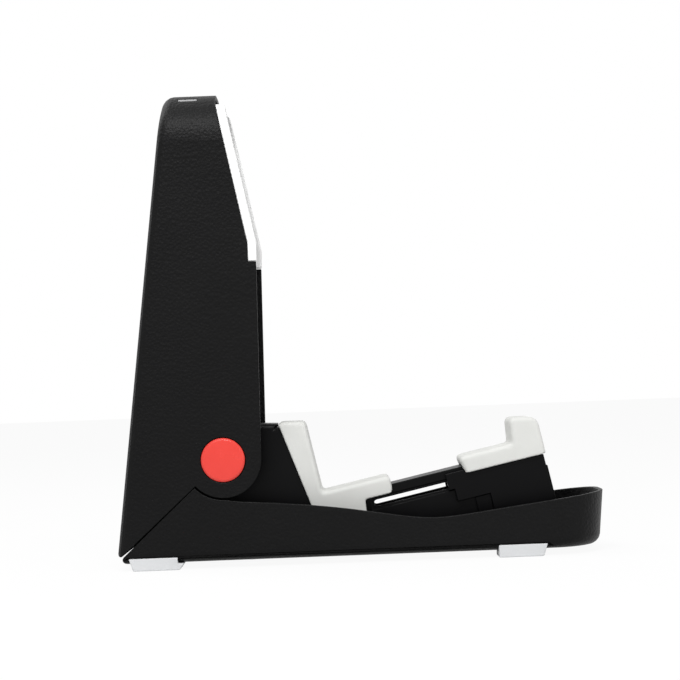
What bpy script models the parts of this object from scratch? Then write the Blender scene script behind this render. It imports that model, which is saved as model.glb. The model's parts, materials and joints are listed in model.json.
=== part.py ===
"""Folding instrument stand: two clamshell halves on one hinge bolt.

The lower half carries a padded cradle with a hook that slides along its arm.
Lengths are in millimetres. X runs from the back to the nose and Z up from the floor.
"""

import math

import bmesh
import bpy
from mathutils import Matrix, Vector

MM = 0.001

# Fits
GAP = 0.3               # between pieces that touch
RUNNING = 0.4           # between pieces that slide

# Whole stand
LENGTH = 297.0          # back corner to nose
HEIGHT = 288.5          # floor to crown
WIDTH = 78.0            # over the side walls
WALL = 2.5              # both shells
EDGE_ROUND = 6.0        # outer edges of both shells
END_ROUND = 31.0        # corners of the crown and of the nose

# Hinge
PIVOT_BACK = 65.6       # from the back corner
PIVOT_HEIGHT = 65.0
LOBE_RADIUS = 23.0
LOBE_GAP = 1.0          # between the lobe and the base's hollow
MITRE_UPRIGHT = 41.7    # degrees below level, behind the pivot
MITRE_BASE = 42.3
BOLT_RADIUS = 4.0
BOLT_HEAD_RADIUS = 7.4
BOLT_HEAD = 3.0
BOLT_CHAMFER = 0.8
BOSS_RADIUS = 15.0
BOSS_DEPTH = 5.0        # inside the upright's wall
BOSS_SKIN = 2.6         # clamped by the bolt
CAP_RADIUS = 13.2
CAP_SEAT = 1.2          # recess in the wall
CAP_RIM = 0.5           # the rim stands proud
CAP_DOME = 0.7          # the middle stands above the rim
CAP_BEVEL = 1.2         # width of the sloped rim
CAP_EDGE = 0.4
CAP_STEP = 0.2          # rise of the sloped rim
WASHER_RADIUS = 12.0
WASHER = 1.0
SPACER_RADIUS = 9.0
BUSH_WALL = 2.2
HUB_WALL = 3.0

# Upright shell, measured from the pivot
BACK_REACH = 58.5       # pivot to the back face, at the pivot's height
BACK_LEAN = 7.5         # degrees
CROWN_FRONT = 2.7       # the crown's front edge
FRONT_TOP = 24.5        # the front edge, below the edge pad
LEDGE = 118.6           # the edge pad's lower end
RECESS = 5.1            # the pad's depth
RECESS_STRAIGHT = 11.2
HEEL_ROUND = 1.8        # lower back corner

# Edge pads
PAD_TOP = 215.5         # above the pivot
PAD_WIDTH = 7.0
PAD_TONGUE = 4.0        # behind the rim
PAD_NOSE = 2.2          # rounding of the front

# Crown slots
SLOT_BACK = 14.2        # behind the pivot
SLOT_LENGTH = 12.0
SLOT_WIDTH = 3.4
SLOT_ANGLE = 61.0       # round the shoulder
PLUG_FLANGE = 1.4

# Base shell
FLOOR_GAP = 4.2
BASE_HEEL_ROUND = 2.6
NOSE_HEIGHT = 37.4
NOSE_LEAN = 5.5
RIM_LOW = 25.7          # lowest point of the rim
RIM_LOW_X = 192.0
RIM_FRONT = 33.7        # start of the rim's straight front
RIM_FRONT_X = 264.5
RIM_BACK = 39.6         # start of the rim's curve
RIM_BACK_X = 75.0
RIM_BACK_PULL = (73.0, -4.5)    # the curve's handles
RIM_LOW_PULL = (-24.0, 0.2)
RIM_RISE_PULL = (14.0, -0.1)
RIM_FRONT_PULL = (-34.0, -3.8)

# Feet
FOOT_LENGTH = 28.0      # on the floor
FOOT_LIP_LENGTH = 29.5
FOOT_BLOCK_LENGTH = 32.0
FOOT_LIP_HEIGHT = 7.5
FOOT_LIP = 4.5          # thickness of the lip
FOOT_WIDTH = 19.0
FOOT_REAR_X = 6.6
FOOT_FRONT_X = 229.4
FOOT_SLANT = 2.6        # rear feet lean at the back, front feet in front
PEG_RADIUS = 3.5
PEG_LENGTH = 5.0

# Cradle: u runs up the arm, v square to it, from the pad's inner corner
TRAY_X = 124.5
TRAY_Z = 42.3
TRAY_SLOPE = 11.9
BARREL_RADIUS = 21.3
BODY_HALF = 16.4
BODY_WALL = 2.5
BODY_SHOULDER = 3.6     # rounding of the barrel's and the hump's top edges
SHOULDER_DEPTH = 5.0    # how far down it reaches
BODY_FRONT = 24.0       # u of the wide part's front
HUMP_FRONT_X = 98.4
HUMP_HEIGHT = 85.1
ARM_HALF = 13.0
ARM_END = 92.5
ARM_TOP = -5.8
SLOT_START = 29.0
SLOT_V = -15.0
SLOT_HEIGHT = 4.0
SLOT_CLOSE = 3.0        # material left at the arm's end
GROOVE_HEIGHT = 7.4
GROOVE_DEPTH = 0.8
SHELF_DEPTH = 3.3       # the shelf under the seat pad's front

# Cradle pad
SKIN = 2.6              # pad thickness on top and in front
SIDE_SKIN = 2.0
SEAT_END = 42.1
SEAT_SIDE = 10.8
PAD_HEIGHT = 86.0
PAD_FOOT = 26.0
PAD_STEP = 24.4
PAD_ROUND = 2.4
PAD_CREST_BACK = 1.8    # corner radii of the side view
PAD_CREST_FRONT = 3.4
PAD_INNER = 2.0
PAD_END = 2.8
PAD_END_LOW = 2.6
PAD_STEP_SLANT = 1.6
PAD_BACK_SLOPE = 0.365

# Slider
SLEEVE_WALL = 3.0
SLEEVE_FRONT_WALL = 2.2
SKIRT_WALL = 1.2        # thin cheeks that hide the arm's end
SKIRT_LAP = 2.5
SLEEVE_BACK = 75.5
SLEEVE_STEP = 79.0
SLEEVE_BLOCK = 99.5
SLEEVE_FRONT = 137.0
SLEEVE_APRON = 137.8
SLEEVE_TOP = -2.6
APRON_RISE = 0.7        # the apron's top above the cheek's step
CHEEK_TOP = -8.0
CHEEK_STEP = -18.2
CHEEK_FOOT = -26.0
BLOCK_FOOT = -46.0
HOOK_BACK = 85.6
HOOK_SEAT = 0.5
HOOK_FACE = 119.4
HOOK_LEAN = 8.0
HOOK_TOP = 16.5
HOOK_FRONT = 138.6
HOOK_SIDE = -10.2
HOOK_TUCK = 2.1         # the pad's back end leans in below
HOOK_HEEL = 2.8         # corner radii of the side view
HOOK_INNER = 2.0
HOOK_CREST = 3.6
HOOK_NOSE = 6.5
POST_CREST = 1.5        # corner radii of the post inside
POST_NOSE = 4.5
PIN_RADIUS = 1.7
PIN_SPACING = 8.0
PIN_COVER = 0.8         # cheek left over a pin's end

# Cradle screws
SCREW_RADIUS = 1.5
SCREW_HEAD_RADIUS = 3.0
SCREW_HEAD = 1.7
SCREW_LENGTH = 12.0
SCREW_BOSS = 3.6
SCREW_BOSS_HEIGHT = 17.0
SCREW_REAR_X = 80.0
SCREW_FRONT_X = 200.0

# Worked out from the sizes above
HALF = WIDTH / 2
CROWN = HEIGHT - PIVOT_HEIGHT
FLOOR_TOP = FLOOR_GAP + WALL
BODY_FLOOR = FLOOR_TOP + GAP
SHEAR = math.tan(math.radians(BACK_LEAN))
BOSS_FACE = HALF - WALL - BOSS_DEPTH
POCKET = BOSS_FACE + BOSS_SKIN
SLOPE = math.radians(TRAY_SLOPE)
SLEEVE_INNER = ARM_HALF + RUNNING
SLEEVE_HALF = SLEEVE_INNER + SLEEVE_WALL
PAD_HALF = max(BODY_HALF, SLEEVE_HALF) + GAP + SIDE_SKIN
PIN_FRONT = ARM_END - SLOT_CLOSE - GAP - PIN_RADIUS
PIN_REACH = SLEEVE_HALF - PIN_COVER - GAP

SIDE = Matrix(((1, 0, 0, 0), (0, 0, -1, 0), (0, 1, 0, 0), (0, 0, 0, 1)))
FRONT = Matrix(((0, 0, 1, 0), (1, 0, 0, 0), (0, 1, 0, 0), (0, 0, 0, 1)))
PLAN = Matrix.Identity(4)


# Scene

for old in list(bpy.data.objects):
    bpy.data.objects.remove(old)
stand = bpy.data.collections.new("folding_instrument_stand")
tools = bpy.data.collections.new("cutters")
for collection in (stand, tools):
    bpy.context.scene.collection.children.link(collection)


def finish(name, colour, roughness, metallic=0.0):
    """A plain material for one sub-part."""
    material = bpy.data.materials.new(name)
    material.use_nodes = True
    shader = material.node_tree.nodes["Principled BSDF"]
    shader.inputs["Base Color"].default_value = (*colour, 1.0)
    shader.inputs["Roughness"].default_value = roughness
    shader.inputs["Metallic"].default_value = metallic
    material.diffuse_color = (*colour, 1.0)
    return material


def frame(name, x, z, turn=0.0):
    """An empty on a joint's axis or at a datum; turn is about Y, in degrees."""
    empty = bpy.data.objects.new(name, None)
    empty.location = (x * MM, 0, z * MM)
    empty.rotation_euler = (0, math.radians(turn), 0)
    stand.objects.link(empty)
    return empty


# Outlines

def arc(x, z, radius, start, end, steps):
    """Points on a circle, angles in degrees."""
    turns = [math.radians(start + (end - start) * i / steps) for i in range(steps + 1)]
    return [(x + radius * math.cos(t), z + radius * math.sin(t)) for t in turns]


def rounded(corners, steps=5):
    """A closed outline; a corner is (x, z) or (x, z, radius)."""
    points = []
    count = len(corners)
    for i, corner in enumerate(corners):
        x, z = corner[:2]
        radius = corner[2] if len(corner) > 2 else 0
        if not radius:
            points.append((x, z))
            continue
        before = corners[i - 1]
        after = corners[(i + 1) % count]
        a = math.atan2(before[1] - z, before[0] - x)
        b = math.atan2(after[1] - z, after[0] - x)
        half = (b - a + math.pi) % (2 * math.pi) - math.pi
        middle = a + half / 2
        reach = radius / abs(math.sin(half / 2))
        cx = x + reach * math.cos(middle)
        cz = z + reach * math.sin(middle)
        side = math.copysign(math.pi / 2, half)
        start = math.degrees(a - side)
        end = math.degrees(b + side)
        end = start + (end - start + 180) % 360 - 180
        points += arc(cx, cz, radius, start, end, steps)
    return points


def curve_points(start, first, second, end, steps):
    """Points on a cubic curve, without its start."""
    points = []
    for i in range(1, steps + 1):
        t = i / steps
        s = 1 - t
        weights = (s ** 3, 3 * s * s * t, 3 * s * t * t, t ** 3)
        corners = (start, first, second, end)
        points.append(tuple(sum(w * c[k] for w, c in zip(weights, corners)) for k in (0, 1)))
    return points


def tray(u, v):
    """A place on the cradle as (distance from the back, height)."""
    x = TRAY_X + u * math.cos(SLOPE) - v * math.sin(SLOPE)
    z = TRAY_Z + u * math.sin(SLOPE) + v * math.cos(SLOPE)
    return (x, z)


def tray_at_height(u, z):
    """The place on the line of constant u at height z."""
    v = (z - TRAY_Z - u * math.sin(SLOPE)) / math.cos(SLOPE)
    return tray(u, v)


# Solids

def settle(mesh):
    """Weld a mesh and turn its faces out."""
    work = bmesh.new()
    work.from_mesh(mesh)
    bmesh.ops.remove_doubles(work, verts=work.verts, dist=0.00001)
    bmesh.ops.recalc_face_normals(work, faces=work.faces)
    work.to_mesh(mesh)
    work.free()


def place(name, mesh, parent, tool=False):
    """An object for a mesh, in the parts' or the cutters' collection."""
    piece = bpy.data.objects.new(name, mesh)
    piece.parent = parent
    (tools if tool else stand).objects.link(piece)
    if tool:
        piece.hide_render = True
        piece.display_type = "WIRE"
    return piece


def baked(piece):
    """The same object with its modifiers applied."""
    bpy.context.view_layer.update()
    ready = piece.evaluated_get(bpy.context.evaluated_depsgraph_get())
    mesh = bpy.data.meshes.new_from_object(ready)
    piece.modifiers.clear()
    piece.data = mesh
    settle(mesh)
    return piece


def extruded(name, outline, start, end, plane, parent, tool=False):
    """A flat outline drawn in a plane and extruded from start to end."""
    curve = bpy.data.curves.new(name, "CURVE")
    curve.dimensions = "2D"
    curve.fill_mode = "BOTH"
    curve.extrude = (end - start) / 2 * MM
    spline = curve.splines.new("POLY")
    spline.points.add(len(outline) - 1)
    for point, (a, b) in zip(spline.points, outline):
        point.co = (a * MM, b * MM, 0, 1)
    spline.use_cyclic_u = True
    drawn = bpy.data.objects.new(name, curve)
    bpy.context.scene.collection.objects.link(drawn)
    bpy.context.view_layer.update()
    ready = drawn.evaluated_get(bpy.context.evaluated_depsgraph_get())
    mesh = bpy.data.meshes.new_from_object(ready)
    mesh.transform(plane @ Matrix.Translation((0, 0, (start + end) / 2 * MM)))
    bpy.data.objects.remove(drawn)
    settle(mesh)
    return place(name, mesh, parent, tool)


def slab(name, outline, half, parent, tool=False):
    """A side outline with the same width on both sides of the middle."""
    return extruded(name, outline, -half, half, SIDE, parent, tool)


def rod(name, x, z, radius, start, end, parent, tool=False, sides=32):
    """A cylinder along Y."""
    mesh = bpy.data.meshes.new(name)
    work = bmesh.new()
    bmesh.ops.create_cone(work, cap_ends=True, segments=sides, radius1=radius * MM,
                          radius2=radius * MM, depth=(end - start) * MM)
    turn = Matrix.Rotation(math.pi / 2, 4, "X")
    shift = Matrix.Translation((x * MM, (start + end) / 2 * MM, z * MM))
    bmesh.ops.transform(work, matrix=shift @ turn, verts=work.verts)
    work.to_mesh(mesh)
    work.free()
    return place(name, mesh, parent, tool)


def post(name, x, y, radius, low, high, parent, tool=False, sides=20):
    """A cylinder along Z."""
    mesh = bpy.data.meshes.new(name)
    work = bmesh.new()
    bmesh.ops.create_cone(work, cap_ends=True, segments=sides, radius1=radius * MM,
                          radius2=radius * MM, depth=(high - low) * MM)
    shift = Matrix.Translation((x * MM, y * MM, (low + high) / 2 * MM))
    bmesh.ops.transform(work, matrix=shift, verts=work.verts)
    work.to_mesh(mesh)
    work.free()
    return place(name, mesh, parent, tool)


def turned(name, profile, parent, sides, side):
    """A profile of (radius, distance from the middle) turned about the bolt's axis."""
    mesh = bpy.data.meshes.new(name)
    points = [(r * MM, 0, y * MM) for r, y in profile]
    mesh.from_pydata(points, [(i, i + 1) for i in range(len(points) - 1)], [])
    piece = place(name, mesh, parent)
    screw = piece.modifiers.new("turn", "SCREW")
    screw.steps = sides
    screw.render_steps = sides
    screw.use_merge_vertices = True
    screw.merge_threshold = 0.00001
    screw.use_normal_calculate = True
    baked(piece)
    piece.data.transform(Matrix.Rotation(-side * math.pi / 2, 4, "X"))
    return piece


def boolean(piece, tool, operation):
    """Cut, join or keep the shared part, as a modifier on the piece."""
    step = piece.modifiers.new(operation.lower(), "BOOLEAN")
    step.operation = operation
    step.solver = "EXACT"
    step.object = tool
    return piece


def cut(piece, *cutters):
    for cutter in cutters:
        boolean(piece, cutter, "DIFFERENCE")
    return piece


def joined(piece, *others):
    for other in others:
        boolean(piece, other, "UNION")
    return piece


def kept(piece, *others):
    for other in others:
        boolean(piece, other, "INTERSECT")
    return piece


def round_edges(piece, chosen, radius, segments):
    """Round the edges for which chosen(middle, faces) holds, in millimetres."""
    work = bmesh.new()
    work.from_mesh(piece.data)
    edges = []
    for edge in work.edges:
        middle = (edge.verts[0].co + edge.verts[1].co) / 2 / MM
        if len(edge.link_faces) == 2 and chosen(middle, edge.link_faces):
            edges.append(edge)
    bmesh.ops.bevel(work, geom=edges, offset=radius * MM, segments=segments, profile=0.5,
                    affect="EDGES", offset_type="OFFSET", clamp_overlap=False)
    work.to_mesh(piece.data)
    work.free()
    settle(piece.data)
    return piece


def facing(face, direction, limit=0.999):
    return face.normal.dot(direction) > limit


def one_facing(direction):
    """True for edges where exactly one face looks along a direction."""
    def chosen(middle, faces):
        return facing(faces[0], direction) != facing(faces[1], direction)
    return chosen


def done(piece, material, angle=35):
    """Apply the steps, give the material and shade the round faces smooth."""
    baked(piece)
    mesh = piece.data
    mesh.materials.clear()
    mesh.materials.append(material)
    mesh.shade_smooth()
    mesh.set_sharp_from_angle(angle=math.radians(angle))
    return piece


# Materials

shell_black = finish("shell_black", (0.012, 0.012, 0.013), 0.5)
cradle_black = finish("cradle_black", (0.008, 0.008, 0.009), 0.35)
pad_white = finish("pad_white", (0.72, 0.73, 0.70), 0.55)
strip_white = finish("strip_white", (0.80, 0.80, 0.80), 0.5)
foot_white = finish("foot_white", (0.68, 0.68, 0.69), 0.6)
disc_red = finish("disc_red", (0.84, 0.09, 0.07), 0.3)
steel = finish("steel", (0.6, 0.6, 0.6), 0.3, 1.0)
nylon = finish("nylon", (0.75, 0.74, 0.70), 0.5)
washer_dark = finish("washer_dark", (0.08, 0.08, 0.08), 0.6)

back = frame("back_datum", -LENGTH / 2, 0)
pivot = frame("fold_axis", PIVOT_BACK - LENGTH / 2, PIVOT_HEIGHT)
arm = frame("slide_axis", TRAY_X - LENGTH / 2, TRAY_Z, -TRAY_SLOPE)


# Upright shell, drawn from the pivot

def back_line(z, inset=0.0):
    """The back face's X at a height, from the pivot, moved in by a wall."""
    return -BACK_REACH + z * SHEAR + inset / math.cos(math.radians(BACK_LEAN))


def arch(inset):
    """The crown's front view: a channel closed by two round shoulders."""
    half = HALF - inset
    top = CROWN - inset
    return rounded([(-half, -PIVOT_HEIGHT * 2), (half, -PIVOT_HEIGHT * 2),
                    (half, top, END_ROUND - inset), (-half, top, END_ROUND - inset)], 10)


def mitre_end():
    """Where the upright's mitre meets the back face."""
    angle = math.radians(MITRE_UPRIGHT)
    reach = BACK_REACH / (math.cos(angle) - math.sin(angle) * SHEAR)
    return (-reach * math.cos(angle), -reach * math.sin(angle))


def upright_outline():
    heel = mitre_end()
    lobe = arc(0, 0, LOBE_RADIUS, MITRE_UPRIGHT - 180, 0, 16)
    recess = FRONT_TOP - RECESS
    corners = lobe + [(FRONT_TOP, LEDGE), (recess, LEDGE), (recess, LEDGE + RECESS_STRAIGHT),
                      (CROWN_FRONT, PAD_TOP), (CROWN_FRONT, CROWN),
                      (back_line(CROWN), CROWN), (*heel, HEEL_ROUND)]
    return rounded(corners)


def channel(name, depth, tool):
    """A solid channel with a round crown and rounded back edges, depth inside the shell."""
    low = -PIVOT_HEIGHT * 1.5
    top = CROWN - depth
    side = [(back_line(low, depth), low), (LENGTH, low), (LENGTH, top), (back_line(top, depth), top)]
    solid = slab(name, side, HALF - depth, pivot, tool)
    baked(kept(solid, extruded(name + "_view", arch(depth), -LENGTH, LENGTH * 2, FRONT, pivot, True)))
    lean = math.radians(BACK_LEAN)
    behind = Vector((-math.cos(lean), 0, math.sin(lean)))
    return round_edges(solid, one_facing(behind), EDGE_ROUND - depth, 4)


def upright_shell():
    shell = channel("upright_shell", 0, False)
    kept(shell, slab("upright_side", upright_outline(), HALF * 2, pivot, True))
    cut(shell, channel("upright_hollow", WALL, True))
    for side in (-1, 1):
        a, b = sorted((side * BOSS_FACE, side * (HALF - CAP_SEAT - GAP)))
        joined(shell, rod("boss", 0, 0, BOSS_RADIUS, a, b, pivot, True, 40))
    for side in (-1, 1):
        a, b = sorted((side * (HALF - CAP_SEAT), side * HALF * 2))
        cut(shell, rod("cap_seat", 0, 0, CAP_RADIUS + RUNNING, a, b, pivot, True, 48))
        a, b = sorted((side * POCKET, side * HALF * 2))
        cut(shell, rod("head_pocket", 0, 0, BOLT_HEAD_RADIUS + RUNNING * 2, a, b, pivot, True))
    cut(shell, rod("bolt_hole", 0, 0, BOLT_RADIUS + GAP, -HALF * 2, HALF * 2, pivot, True))
    for side in (-1, 1):
        cut(shell, shoulder_block("crown_slot", side, SLOT_LENGTH, SLOT_WIDTH, -2 * WALL,
                                  2 * WALL, True))
    return done(shell, shell_black)


def shoulder_block(name, side, length, width, inner, outer, tool=False):
    """A block across the crown's shoulder; inner and outer are from the outer face."""
    mesh = bpy.data.meshes.new(name)
    work = bmesh.new()
    bmesh.ops.create_cube(work, size=MM)
    size = Matrix.Diagonal((length, outer - inner, width, 1))
    out = Matrix.Translation(((0, (END_ROUND + (inner + outer) / 2) * MM, 0)))
    turn = Matrix.Rotation(math.radians(SLOT_ANGLE), 4, "X")
    centre = Matrix.Translation((-SLOT_BACK * MM, (HALF - END_ROUND) * MM,
                                 (CROWN - END_ROUND) * MM))
    mirror = Matrix.Diagonal((1, side, 1, 1))
    bmesh.ops.transform(work, matrix=mirror @ centre @ turn @ out @ size, verts=work.verts)
    bmesh.ops.recalc_face_normals(work, faces=work.faces)
    work.to_mesh(mesh)
    work.free()
    return place(name, mesh, pivot, tool)


def crown_plug(name, side):
    """A soft insert in the crown's slot, with a flange inside the wall."""
    plug = shoulder_block(name, side, SLOT_LENGTH - 2 * GAP, SLOT_WIDTH - 2 * GAP,
                          -WALL - GAP - PLUG_FLANGE, -GAP)
    flange = shoulder_block("plug_flange", side, SLOT_LENGTH + 2 * PLUG_FLANGE,
                            SLOT_WIDTH + PLUG_FLANGE, -WALL - 2 * GAP - PLUG_FLANGE,
                            -WALL - 2 * GAP, True)
    return done(joined(plug, flange), strip_white)


def edge_pad(name, side):
    """A soft strip on the rim of one wall, with a tongue behind the rim."""
    recess = FRONT_TOP - RECESS
    straight = LEDGE + RECESS_STRAIGHT
    depth = FRONT_TOP - recess + GAP
    low = LEDGE + GAP
    face = [(recess + GAP, low), (FRONT_TOP + GAP, low), (recess + GAP + depth, straight),
            (CROWN_FRONT + GAP + depth, PAD_TOP - GAP, PAD_NOSE), (CROWN_FRONT + GAP, PAD_TOP - GAP),
            (recess + GAP, straight)]
    outer_view = extruded("pad_outer", arch(0), -LENGTH, LENGTH, FRONT, pivot, True)
    inner_view = extruded("pad_inner", arch(PAD_WIDTH), -LENGTH, LENGTH, FRONT, pivot, True)
    strip = extruded(name, rounded(face), 0, HALF, SIDE, pivot)
    if side > 0:
        strip.data.transform(Matrix.Diagonal((1, -1, 1, 1)))
        settle(strip.data)
    baked(cut(kept(strip, outer_view), inner_view))
    tongue_side = [(recess - PAD_TONGUE, low), (recess + depth / 2, low),
                   (recess + depth / 2, straight), (CROWN_FRONT + depth / 2, PAD_TOP - GAP),
                   (CROWN_FRONT - PAD_TONGUE, PAD_TOP - GAP), (recess - PAD_TONGUE, straight)]
    tongue = extruded("pad_tongue", tongue_side, 0, HALF, SIDE, pivot, True)
    if side > 0:
        tongue.data.transform(Matrix.Diagonal((1, -1, 1, 1)))
        settle(tongue.data)
    wall_view = extruded("pad_wall", arch(WALL + GAP), -LENGTH, LENGTH, FRONT, pivot, True)
    baked(cut(kept(tongue, wall_view), inner_view))
    return done(joined(strip, tongue), strip_white)


# Hinge hardware on the bolt's axis

def hinge_hardware():
    head = POCKET + GAP
    profile = [(0, head + BOLT_HEAD), (BOLT_HEAD_RADIUS - BOLT_CHAMFER, head + BOLT_HEAD),
               (BOLT_HEAD_RADIUS, head + BOLT_HEAD - BOLT_CHAMFER), (BOLT_HEAD_RADIUS, head),
               (BOLT_RADIUS, head), (BOLT_RADIUS, -head - BOLT_HEAD + BOLT_CHAMFER),
               (BOLT_RADIUS - BOLT_CHAMFER, -head - BOLT_HEAD), (0, -head - BOLT_HEAD)]
    bolt = turned("pivot_bolt", profile, pivot, 32, -1)
    done(bolt, steel)
    nut = rod("pivot_nut", 0, 0, BOLT_HEAD_RADIUS, head, head + BOLT_HEAD, pivot, sides=6)
    cut(nut, rod("nut_bore", 0, 0, BOLT_RADIUS + GAP, 0, HALF * 2, pivot, True))
    done(nut, steel)
    for side, word in ((-1, "left"), (1, "right")):
        a, b = sorted((side * (BOSS_FACE - GAP - WASHER), side * (BOSS_FACE - GAP)))
        washer = rod("friction_washer_" + word, 0, 0, WASHER_RADIUS, a, b, pivot, sides=40)
        cut(washer, rod("washer_bore", 0, 0, BOLT_RADIUS + GAP, -HALF, HALF, pivot, True))
        done(washer, washer_dark)
        inner = BODY_HALF + GAP
        outer = BOSS_FACE - 2 * GAP - WASHER
        a, b = sorted((side * inner, side * outer))
        spacer = rod("spacer_" + word, 0, 0, SPACER_RADIUS, a, b, pivot, sides=36)
        cut(spacer, rod("spacer_bore", 0, 0, BOLT_RADIUS + GAP, -HALF, HALF, pivot, True))
        done(spacer, nylon)
        seat = HALF - CAP_SEAT + GAP
        rim = HALF + CAP_RIM
        steps = [(CAP_RADIUS * f, rim + CAP_DOME * (1 - f * f)) for f in (0, 0.3, 0.55, 0.75)]
        cap = steps + [(CAP_RADIUS - CAP_BEVEL, rim + CAP_STEP), (CAP_RADIUS - CAP_EDGE, rim - CAP_STEP / 2),
                       (CAP_RADIUS, rim - CAP_STEP - CAP_EDGE), (CAP_RADIUS, seat), (0, seat)]
        done(turned("pivot_cap_" + word, cap, pivot, 48, side), disc_red)
    bush = rod("pivot_bush", 0, 0, BOLT_RADIUS + GAP + BUSH_WALL, -BODY_HALF, BODY_HALF, pivot)
    cut(bush, rod("bush_bore", 0, 0, BOLT_RADIUS + GAP, -HALF, HALF, pivot, True))
    done(bush, nylon)


# Base shell, drawn from the back corner

def pulled(point, pull):
    """A curve's handle, from its end point."""
    return (point[0] + pull[0], point[1] + pull[1])


def base_outline():
    """Mitre, hollow for the lobe, dished rim, leaning nose and flat floor."""
    hollow = arc(PIVOT_BACK, PIVOT_HEIGHT, LOBE_RADIUS + LOBE_GAP, MITRE_BASE - 180, -90, 10)
    rim_back = (RIM_BACK_X, RIM_BACK)
    rim_low = (RIM_LOW_X, RIM_LOW)
    rim_front = (RIM_FRONT_X, RIM_FRONT)
    first = curve_points(rim_back, pulled(rim_back, RIM_BACK_PULL), pulled(rim_low, RIM_LOW_PULL),
                         rim_low, 10)
    second = curve_points(rim_low, pulled(rim_low, RIM_RISE_PULL), pulled(rim_front, RIM_FRONT_PULL),
                          rim_front, 8)
    under = FLOOR_GAP - GAP / 6
    reach = (PIVOT_HEIGHT - under) / math.tan(math.radians(MITRE_BASE))
    heel = (PIVOT_BACK - reach, under, BASE_HEEL_ROUND)
    nose = [(LENGTH, NOSE_HEIGHT), (LENGTH * 2, NOSE_HEIGHT), (LENGTH * 2, under)]
    return rounded(hollow + [rim_back] + first + second + nose + [heel])


def nose_view(name, inset):
    """The base's plan: a channel closed by a round nose that leans out."""
    half = HALF - inset
    tip = -inset
    view = extruded(name, rounded([(-LENGTH * 2, -half), (tip, -half, END_ROUND - inset),
                                   (tip, half, END_ROUND - inset), (-LENGTH * 2, half)], 10),
                    -HEIGHT * 2, HEIGHT * 2, PLAN, back, True)
    lean = Matrix.Rotation(math.radians(NOSE_LEAN), 4, "Y")
    seat = Matrix.Translation((LENGTH * MM, 0, NOSE_HEIGHT * MM))
    view.data.transform(seat @ lean)
    return view


def dish(name, depth, tool):
    """A solid channel with a round nose and rounded lower edges, depth inside the shell."""
    low = FLOOR_GAP + depth
    side = [(-LENGTH, low), (-LENGTH, HEIGHT), (LENGTH * 2, HEIGHT), (LENGTH * 2, low)]
    solid = slab(name, side, HALF - depth, back, tool)
    baked(kept(solid, nose_view(name + "_view", depth)))
    return round_edges(solid, one_facing(Vector((0, 0, -1))), EDGE_ROUND - depth, 4)


def foot_places():
    for word, x in (("rear", FOOT_REAR_X), ("front", FOOT_FRONT_X)):
        for side, hand in ((-1, "left"), (1, "right")):
            yield "foot_%s_%s" % (word, hand), x, side


def foot_outlines(x, grow):
    """The lip on the wall and the block under the floor."""
    top = FOOT_LIP_HEIGHT + grow
    end = x + FOOT_LIP_LENGTH
    under = FLOOR_GAP - GAP
    if x == FOOT_FRONT_X:
        lip = [(x - grow, top), (x - grow, -1), (end + grow - FOOT_SLANT, -1), (end + grow, top)]
        block = [(x, under), (x, 0), (end - FOOT_SLANT, 0), (end - FOOT_SLANT / 2, under)]
        return lip, block
    lip = [(x - grow, top), (x - grow + FOOT_SLANT, -1), (end + grow, -1), (end + grow, top)]
    block = [(x + FOOT_SLANT / 2, under), (x + FOOT_SLANT, 0), (x + FOOT_SLANT + FOOT_LENGTH, 0),
             (x + FOOT_SLANT / 2 + FOOT_BLOCK_LENGTH, under)]
    return lip, block


def screw_places():
    for x, half in ((SCREW_REAR_X, BODY_HALF), (SCREW_FRONT_X, ARM_HALF)):
        for side in (-1, 1):
            yield x, side * (half - BODY_WALL - SCREW_BOSS + GAP)


def base_shell():
    shell = dish("base_shell", 0, False)
    kept(shell, slab("base_side", base_outline(), HALF * 2, back, True))
    cut(shell, dish("base_hollow", WALL, True))
    for name, x, side in foot_places():
        lip, block = foot_outlines(x, GAP)
        a, b = sorted((side * (HALF - FOOT_LIP - GAP), side * HALF * 2))
        cut(shell, extruded(name + "_notch", lip, -b, -a, SIDE, back, True))
        peg_x = x + FOOT_LIP_LENGTH / 2
        peg_y = side * (HALF - FOOT_WIDTH / 2 - FOOT_LIP / 2)
        cut(shell, post(name + "_hole", peg_x, peg_y, PEG_RADIUS + GAP, -5, FLOOR_TOP + 5, back, True))
    for x, y in screw_places():
        cut(shell, post("screw_hole", x, y, SCREW_RADIUS + GAP, -5, FLOOR_TOP + 5, back, True))
    return done(shell, shell_black)


def foot(name, x, side):
    """A rubber foot: a block under the floor, a lip up the wall and a peg."""
    lip, block = foot_outlines(x, 0)
    a, b = sorted((side * (HALF - FOOT_WIDTH), side * HALF))
    piece = extruded(name, block, -b, -a, SIDE, back)
    a, b = sorted((side * (HALF - FOOT_LIP), side * HALF))
    lip[1] = (lip[1][0], 0)
    lip[2] = (lip[2][0], 0)
    joined(piece, extruded(name + "_lip", lip, -b, -a, SIDE, back, True))
    peg_x = x + FOOT_LIP_LENGTH / 2
    peg_y = side * (HALF - FOOT_WIDTH / 2 - FOOT_LIP / 2)
    low = FLOOR_GAP / 2
    joined(piece, post(name + "_peg", peg_x, peg_y, PEG_RADIUS, low, FLOOR_GAP + PEG_LENGTH, back, True))
    return done(piece, foot_white)


# Cradle, drawn from the back corner and along the arm

def body_outline(floor):
    """Barrel, hump and seat of the cradle's wide part."""
    barrel = arc(PIVOT_BACK, PIVOT_HEIGHT, BARREL_RADIUS, 180, 90, 10)
    front = -SKIN - GAP
    seat = -SKIN - GAP
    ledge = PAD_HEIGHT - SKIN - GAP
    return ([(PIVOT_BACK - BARREL_RADIUS + WALL, floor)] + barrel +
            [(HUMP_FRONT_X - GAP, HUMP_HEIGHT), (HUMP_FRONT_X - GAP, ledge),
             tray_at_height(front, ledge), tray(front, seat), tray(BODY_FRONT, seat),
             tray_at_height(BODY_FRONT, floor)])


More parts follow.
